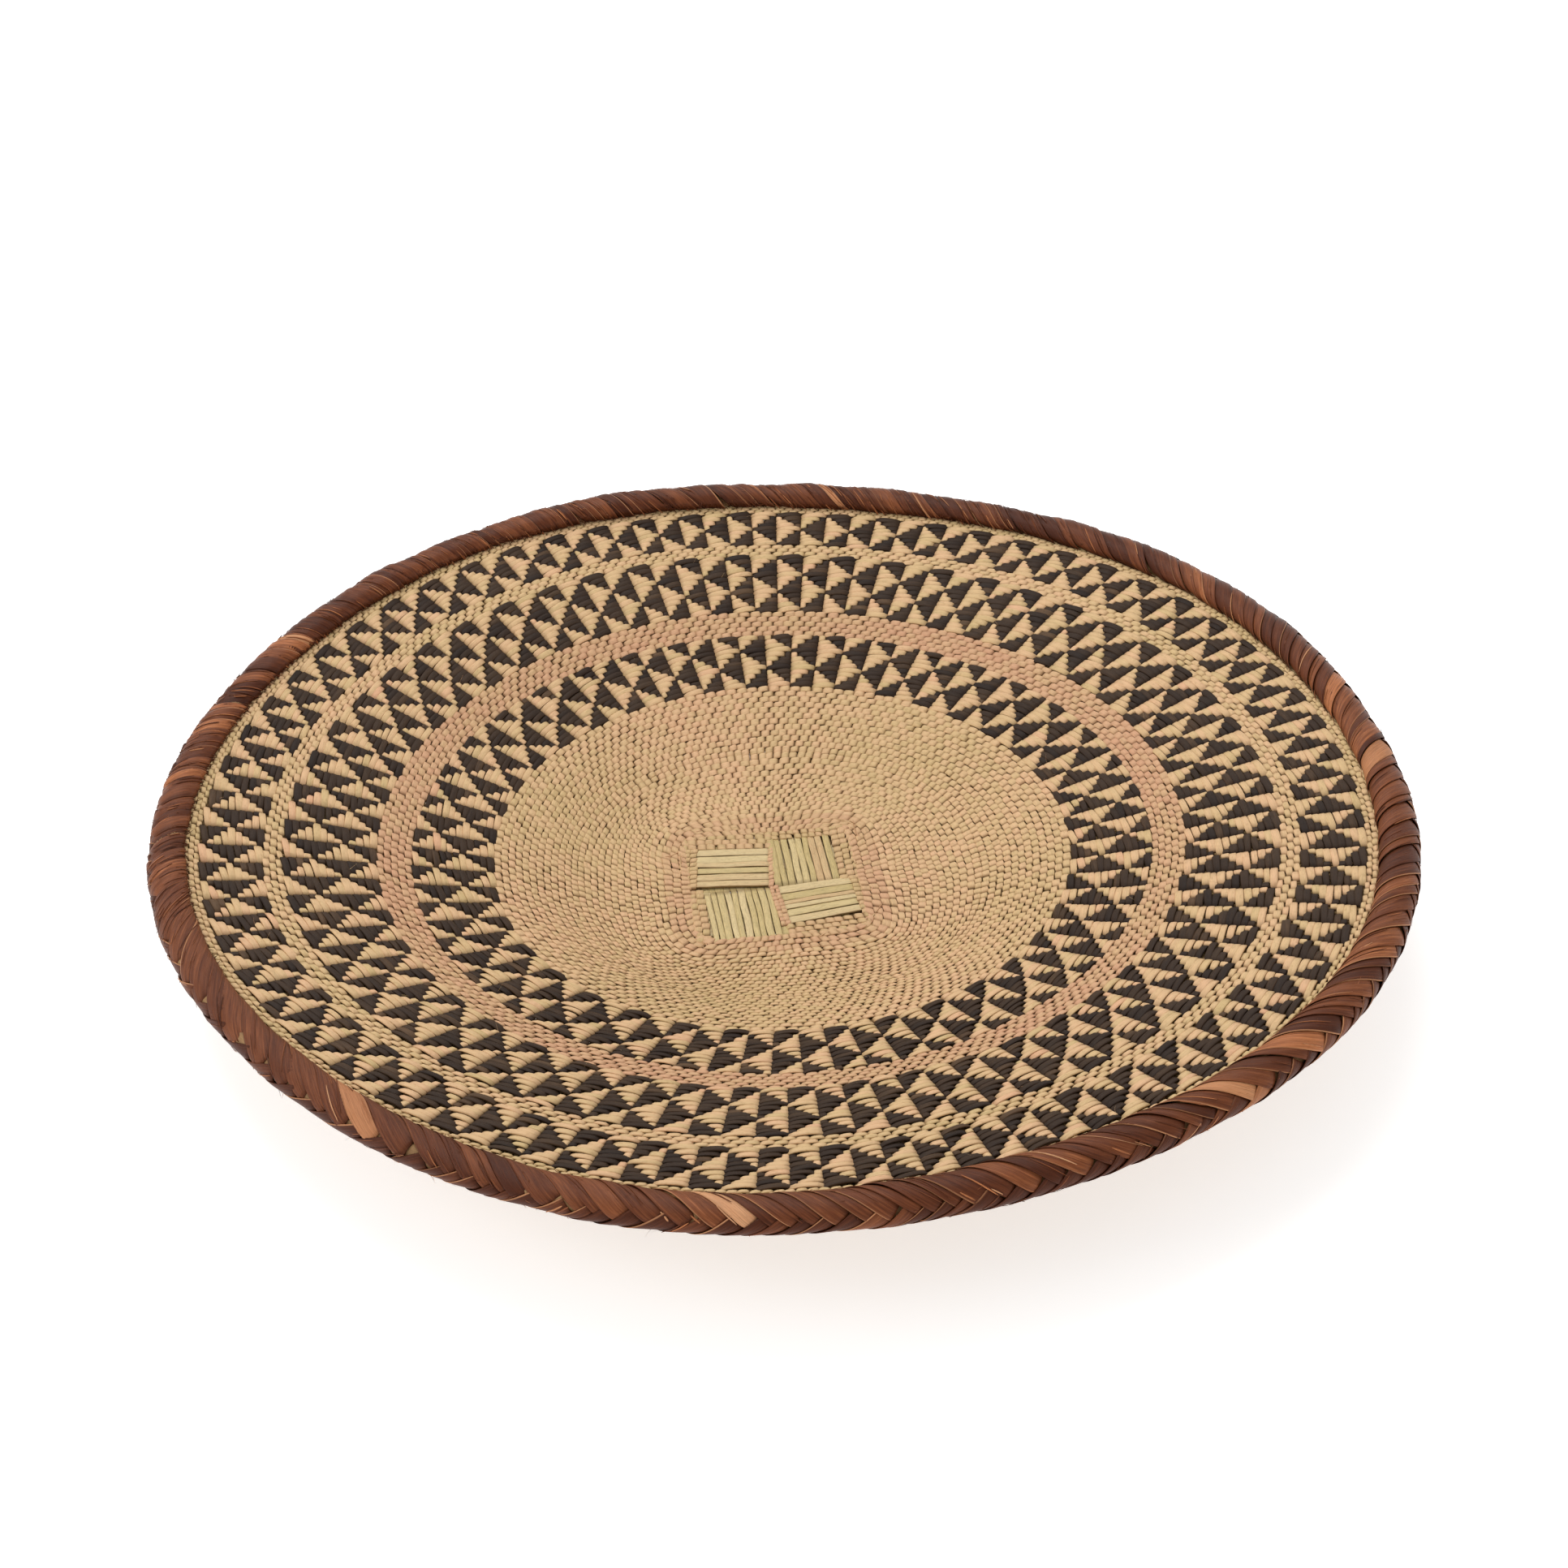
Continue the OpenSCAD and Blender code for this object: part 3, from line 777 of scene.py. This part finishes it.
def strip_places():
    """Angle and angular width of each strip round the rim, from one to the next."""
    edges = [0.0]
    while edges[-1] < TURN:
        width = strip_width(edges[-1]) * rng.uniform(0.65, 1.4)
        edges.append(edges[-1] + width / rim_r)
    edges = np.array(edges) * TURN / edges[-1]
    return (edges[1:] + edges[:-1]) / 2, np.diff(edges)


def bark_path(phi, at_spine, slant, side):
    """Angle round the rim, at height phi, of a strip that passes the spine at one angle.
    side is 1 for strips that come from above and -1 for those from below."""
    return at_spine + side * slant * SLANT * (SPINE - phi)


def lumps(th):
    """How far the roll swells and narrows round the rim."""
    swell = (0.22 + 0.3 * within(th, 90, 45, 30)) * MM
    return swell * np.sin(23 * th + 2) * np.sin(11 * th) + 0.12 * MM * np.sin(47 * th)


def bark_tint_and_shade(th):
    """Tint of the strips round the rim: dark at the far left and light at right. The front is
    darker too, which is painted shade of the side turned from the light.
    """
    return (0.35 + 0.04 * within(th, 168, 40) + 0.07 * within(th, 224, 20)
            - 0.09 * within(th, 105, 40, 20) - 0.06 * within(th, 270, 30, 20)
            + 0.12 * within(th, 5, 35, 20))


def bark_strips(name, upper, start, pitch, material, node):
    """Strips wound over the roll. Each lies on the one before it, and is cut off along the
    edge of the strip of the other kind that covers its end, so they meet in a herringbone."""
    n = len(start)
    side = 1 if upper else -1
    start, pitch = start[:, None, None], pitch[:, None, None]
    vary = rng.normal(0, 1, (7, n, 1, 1))
    u = STRIP_SECTION[None, None, :, 0]
    rough = rough_part(start)
    flat = within(start, 220, 20, 6)          # the front left, where the bark lies smooth
    half = (0.65 + 0.15 * np.maximum(rough, within(start, 240, 12, 8))) * pitch * rim_r
    across = u * half * (1 + 0.05 * vary[0])
    first = ENTRY if upper else UNDER
    last = SPINE + side * (across + half - 0.5 * pitch * rim_r - 0.7 * MM) / 2 / roll_r
    s = np.linspace(0, 1, 20)[None, :, None]
    phi = first + (last - first) * s
    crossing = smooth(1 - np.abs(phi - last) * roll_r / (1.5 * MM))
    entry = smooth(1 - np.abs(phi - first) / 0.5)
    slant = strip_slant(start) * (1 + (0.04 + 0.08 * rough) * vary[2])
    bend = 0.5 * MM * vary[5] * np.sin(s * 3) / rim_r
    th = (bark_path(phi, start + 0.06 * pitch * vary[1], slant, side)
          + across / rim_r + bend)
    tilt = (STRIP_TILT - 0.2 * MM * flat + 0.08 * MM * rough) * (1 + 0.3 * vary[3])
    h = (STRIP_RISE + lumps(th) - tilt * u + (0.05 + 0.13 * rough) * MM * vary[4]
         + STRIP_THICK * STRIP_SECTION[None, None, :, 1]
         - 0.35 * MM * crossing - 0.9 * MM * entry)
    th, phi, h = np.broadcast_arrays(th, phi, h)
    uneven = (0.22 - 0.04 * rough) * (1 - 0.6 * flat)
    # the lower strips, on the outside and underside of the roll, are made darker: painted shade
    tint = np.clip(bark_tint_and_shade(start) - 0.3 * (not upper) + uneven * vary[6] + 0 * s, 0, 1)
    # painted shade under the edge of the next strip that covers each one, where the strips leave
    # the weave, and where they cross
    covered = smooth((u - 0.2) / 0.5)
    deep = 0.75 * entry + (0.35 + 0.35 * rough) * covered + 0.3 * crossing
    # the second value, across the strip, picks its raised edge for the pale edge colour, partly
    # a painted highlight
    tone = np.stack(np.broadcast_arrays(tint, -u, np.clip(deep, 0, 1)), -1)
    along = s * np.abs(last - first) * roll_r * DIAGONAL
    piece = ribbons(name, rim_place(th, phi, h), along, across + 0 * s, tone)
    finish_piece(piece, material, node)


strip_at, strip_pitch = strip_places()
apart = np.abs((strip_at[:, None] - PALE_AT[None] + math.pi) % TURN - math.pi)
is_pale = np.zeros(len(strip_at), bool)
is_pale[apart.argmin(0)] = True
pale_below = is_pale & (np.abs(strip_at - PALE_AT[-1]) < 0.05)     # the last, which shows twice
lower_at = strip_at + strip_pitch / 2
for name, upper, at, chosen, material, node in [
    ("bark_upper", True, strip_at, ~is_pale, BARK, "upper_bark_strips"),
    ("bark_lower", False, lower_at, ~pale_below, BARK, "lower_bark_strips"),
    ("bark_pale", True, strip_at, is_pale, PALE_BARK, "pale_bark_strips"),
    ("bark_pale_lower", False, lower_at, pale_below, PALE_BARK, "pale_bark_strips"),
]:
    bark_strips(name, upper, at[chosen], strip_pitch[chosen], material, node)


FIBRE_RISE = 1.3 * MM         # height of a loose fibre over the surface the strips lie on


def bark_fibres(name, count, tint_range, material, sector=(0, 360)):
    """Narrow fibres that have split off the edges of the strips and lie along them."""
    upper = rng.random(count) < 0.65
    s = np.linspace(0, 1, 10)[None, :, None]
    low = np.where(upper, SPINE, UNDER)
    high = np.where(upper, ENTRY, SPINE)
    one = rng.uniform(low, high)
    two = np.clip(one + rng.choice([-1, 1], count) * rng.uniform(0.4, 2.2, count), low, high)
    one, two = one[:, None, None], two[:, None, None]
    phi = one + (two - one) * s
    start = np.radians(rng.uniform(*sector, count))[:, None, None]
    wide = rng.uniform(0.12, 0.5, count)[:, None, None] * MM
    section = np.array([(-1, 0), (0, 1), (1, 0), (0, -1)])
    slant = strip_slant(start) * (1 + 0.12 * rng.normal(0, 1, (count, 1, 1)))
    from_middle = np.abs(2 * s - 1)
    across = section[None, None, :, 0] * wide * (1 - 0.6 * from_middle**3)
    side = np.where(upper, 1, -1)[:, None, None]
    th = bark_path(phi, start, slant, side) + across / rim_r
    raised = rng.uniform(0.08, 0.4, (count, 1, 1)) * MM * smooth((from_middle - 0.7) / 0.3)
    h = FIBRE_RISE + lumps(th) + raised + 0.08 * MM * section[None, None, :, 1]
    th, phi, h = np.broadcast_arrays(th, phi, h)
    tint = rng.uniform(*tint_range, (count, 1, 1))
    tone = np.stack(np.broadcast_arrays(tint, 0 * h, 0 * h), -1)
    along = s * abs(two - one) * roll_r * DIAGONAL
    finish_piece(ribbons(name, rim_place(th, phi, h), along, across, tone), material)


bark_fibres("bark_fibres", 380, (0.1, 0.95), BARK)
bark_fibres("bark_fibres_left", 620, (0.0, 0.9), BARK, (60, 205))
bark_fibres("bark_pale_fibres", 70, (0.0, 0.9), PALE_BARK)


def ring_round(name, section, material, node):
    """One long piece round the rim, with its two ends together. The section is given in
    metres from the middle of the roll, outwards and up."""
    th = np.linspace(0, TURN * 0.9995, 241)[None, :, None]
    x, z = section[None, None, :, 0], section[None, None, :, 1]
    r = rim_r + x + rim_wave(th)
    points = np.stack([r * np.cos(th), r * np.sin(th),
                       rim_z + z + lift(rim_r, th) + 0 * r], -1)
    # the third value gives these pieces half the painted shade that the material puts deep in
    # the weave
    tone = np.full((1, 1, 1, 3), 0.5)
    finish_piece(ribbons(name, points, th * rim_r, x + 0 * th, tone), material, node)


def arc_section(first, last, count):
    """Part of the oval inside the bark, from one angle in radians to another."""
    a = np.linspace(first, last, count)
    return np.stack([np.cos(a) * (roll_a - BARK_THICK), np.sin(a) * (roll_b - BARK_THICK)], -1)


ring_round("rim_outer_hoop", arc_section(-1.3, 1.3, 9), HOOP, "outer_hoop")
inner_section = np.concatenate([arc_section(1.85, 3.15, 7), [(-1.4 * MM, 0)]])
ring_round("rim_inner_hoop", inner_section, HOOP, "inner_hoop")
# the edge of the weave comes in from the dish at the left and turns up between the hoops
fold = np.array([(-6.8, -1.0), (-1.3, -0.4), (-1.3, 3.0), (1.2, 3.0), (1.2, -2.0),
                 (-0.6, -3.2), (-6.8, -3.2)]) * MM
ring_round("turned_up_stakes", fold, STAKE, "turned_up_edge")


# ---------------------------------------------------------------- loose fibres

def whiskers(name, roots, directions, lengths, width, material, tint_range=(0.0, 1.0)):
    """Thin fibres that stand away from the surface and curl."""
    n = len(roots)
    s = np.linspace(0, 1, 9)[None, :, None]
    d = directions / np.linalg.norm(directions, axis=1, keepdims=True)
    curl = rng.normal(0, 0.3, (n, 3))
    path = (roots[:, None, :] + d[:, None, :] * s * lengths[:, None, None]
            + curl[:, None, :] * s**2 * lengths[:, None, None])
    path[..., 2] = np.maximum(path[..., 2], width)
    along = np.gradient(path, axis=1)
    along /= np.linalg.norm(along, axis=2, keepdims=True)
    side = np.cross(along, rng.normal(0, 1, (n, 1, 3)))
    side /= np.linalg.norm(side, axis=2, keepdims=True)
    up = np.cross(side, along)
    section = np.array([(-1, 0), (0, 0.5), (1, 0), (0, -0.5)]) * width / 2
    taper = (1 - 0.75 * s)[..., None]
    points = (path[:, :, None, :] + side[:, :, None, :] * section[None, None, :, :1] * taper
              + up[:, :, None, :] * section[None, None, :, 1:] * taper)
    tint = rng.uniform(*tint_range, (n, 1, 1, 1))
    tone = tint * np.array([1, 0, 0])
    piece = ribbons(name, points, s * lengths[:, None, None],
                    section[None, None, :, 0] + 0 * s, tone)
    finish_piece(piece, material)


def round_dish(th):
    """The direction round the dish at each angle."""
    return np.stack([-np.sin(th), np.cos(th), 0 * th], -1)


def either_way(count):
    return rng.choice([-1, 1], count)[:, None]


def rim_whiskers(count):
    th = rng.random(count) * TURN
    phi = rng.uniform(math.radians(-80), math.radians(185), count)
    root = rim_place(th, phi, 1.0 * MM)
    outwards = (rim_place(th, phi, 2.0 * MM) - root) / MM
    aim = 0.3 * outwards + 1.2 * round_dish(th) * either_way(count)
    aim = aim + rng.normal(0, 0.25, (count, 3))
    whiskers("rim_whiskers", root, aim, rng.uniform(1, 3.5, count) * MM, 0.2 * MM, BARK)


def rim_fringe(count):
    """Short dark fibres in the crevice between the roll and the weave, at the far left."""
    th = np.radians(50 + 160 * rng.beta(1.6, 1.6, count))
    root = rim_place(th, np.radians(rng.uniform(150, 185, count)), 0.5 * MM)
    inward = np.stack([-np.cos(th), -np.sin(th), 0 * th], -1)
    aim = inward + round_dish(th) * rng.normal(-0.7, 0.5, (count, 1))
    aim = aim + rng.normal(0, 0.1, (count, 3)) + [0, 0, -0.15]
    whiskers("rim_fringe", root, aim, rng.uniform(0.8, 2.2, count) * MM, 0.5 * MM, BARK,
             (0.0, 0.4))


def start_fibres(count):
    """Longer fibres that lie along the first rows, at the corners of the square."""
    corner = SQUARE_TURN + rng.integers(0, 4, count) * QUARTER + QUARTER / 2
    th = corner + rng.normal(0, 0.35, count)
    root = place(first_row_r + rng.uniform(-1, 6, count) * MM, th, 1.3 * MM)
    aim = (round_dish(th) + [0, 0, 0.04]) * either_way(count)
    aim = aim + rng.normal(0, 0.06, (count, 3))
    whiskers("start_fibres", root, aim, rng.uniform(4, 9, count) * MM, 1.0 * MM, PINK,
             (0.2, 0.8))


def weave_whiskers(count):
    r = rng.uniform(base_r, dish_r, count)
    root = place(r, rng.random(count) * TURN, 1.1 * MM)
    aim = rng.normal(0, 1, (count, 3)) * [1, 1, 0.35] + [0, 0, 0.45]
    whiskers("weave_whiskers", root, aim, rng.uniform(1.5, 4.5, count) * MM, 0.14 * MM, PALE)


rim_whiskers(240)
rim_fringe(1700)
start_fibres(26)
weave_whiskers(220)


# ---------------------------------------------------------------- floor, light, camera

FLOOR_HALF = 60.0             # so far out that its edge is never seen
PAPER = (0.94, 0.94, 0.94)
PAPER_GLOW = 0.52


def paper_material(name):
    """White paper that hardly takes a shadow."""
    m = Nodes(name, 0.9, 0.2)
    speck = m.add("ShaderNodeTexNoise", {"Scale": 3.0, "Detail": 2.0})
    tone = m.ramp(speck.outputs[0], [(0, PAPER), (1, tuple(0.985 * c for c in PAPER))])
    m.tree.links.new(tone, m.shader.inputs["Base Color"])
    m.shader.inputs["Emission Color"].default_value = (1, 1, 1, 1)
    m.shader.inputs["Emission Strength"].default_value = PAPER_GLOW
    return m.material


floor_mesh = bpy.data.meshes.new("floor")
corners = [(x * FLOOR_HALF, y * FLOOR_HALF, 0) for x, y in [(-1, -1), (1, -1), (1, 1), (-1, 1)]]
floor_mesh.from_pydata(corners, [], [(0, 1, 2, 3)])
floor = link("floor", floor_mesh)
floor.data.materials.append(paper_material("floor_paper"))

world = bpy.data.worlds.new("studio")
bpy.context.scene.world = world
world.use_nodes = True
sky = world.node_tree.nodes["Background"]
look = world.node_tree.nodes.new("ShaderNodeTexCoord")
height = world.node_tree.nodes.new("ShaderNodeSeparateXYZ")
fade = world.node_tree.nodes.new("ShaderNodeMapRange")    # white low down, softer overhead
for socket, value in [("From Min", 0.25), ("From Max", 0.65), ("To Min", 1.0), ("To Max", 0.52)]:
    fade.inputs[socket].default_value = value
world.node_tree.links.new(look.outputs["Generated"], height.inputs[0])
world.node_tree.links.new(height.outputs["Z"], fade.inputs["Value"])
world.node_tree.links.new(fade.outputs[0], sky.inputs[1])
sky.inputs[0].default_value = (1, 1, 1, 1)


def area_light(name, at, size, power):
    """A square soft light that faces the foot of the dish."""
    data = bpy.data.lights.new(name, "AREA")
    data.size = size
    data.energy = power
    light = link(name, data)
    light.location = at
    light.rotation_euler = (-mathutils.Vector(at)).to_track_quat("-Z", "Y").to_euler()


area_light("light_over", (-0.3, 0.7, 1.6), 1.2, 16)
area_light("light_left", (-1.5, -0.5, 1.1), 0.9, 6)

TILT = math.radians(34.87)    # how far the camera looks down
ROLL = math.radians(-1.29)
VIEW_UNIT = 225 * MM          # of the three values below
DISTANCE = 3.493
SHIFT_X, SHIFT_Y = -0.0046, -0.0913
AIM_HEIGHT = 16 * MM
forward = mathutils.Vector((0, math.cos(TILT), -math.sin(TILT)))
right = mathutils.Vector((1, 0, 0))
up = right.cross(forward)
cam_x = math.cos(ROLL) * right + math.sin(ROLL) * up
cam_y = -math.sin(ROLL) * right + math.cos(ROLL) * up
camera_data = bpy.data.cameras.new("camera")
camera_data.lens = 48.07
camera_data.sensor_width = 36
camera = link("camera", camera_data)
turned = mathutils.Matrix((cam_x, cam_y, -forward)).transposed().to_4x4()
turned.translation = (VIEW_UNIT * (-SHIFT_X * cam_x - SHIFT_Y * cam_y - DISTANCE * forward)
                      + mathutils.Vector((0, 0, AIM_HEIGHT)))
camera.matrix_world = turned
bpy.context.scene.camera = camera
bpy.context.scene.view_settings.view_transform = "Standard"
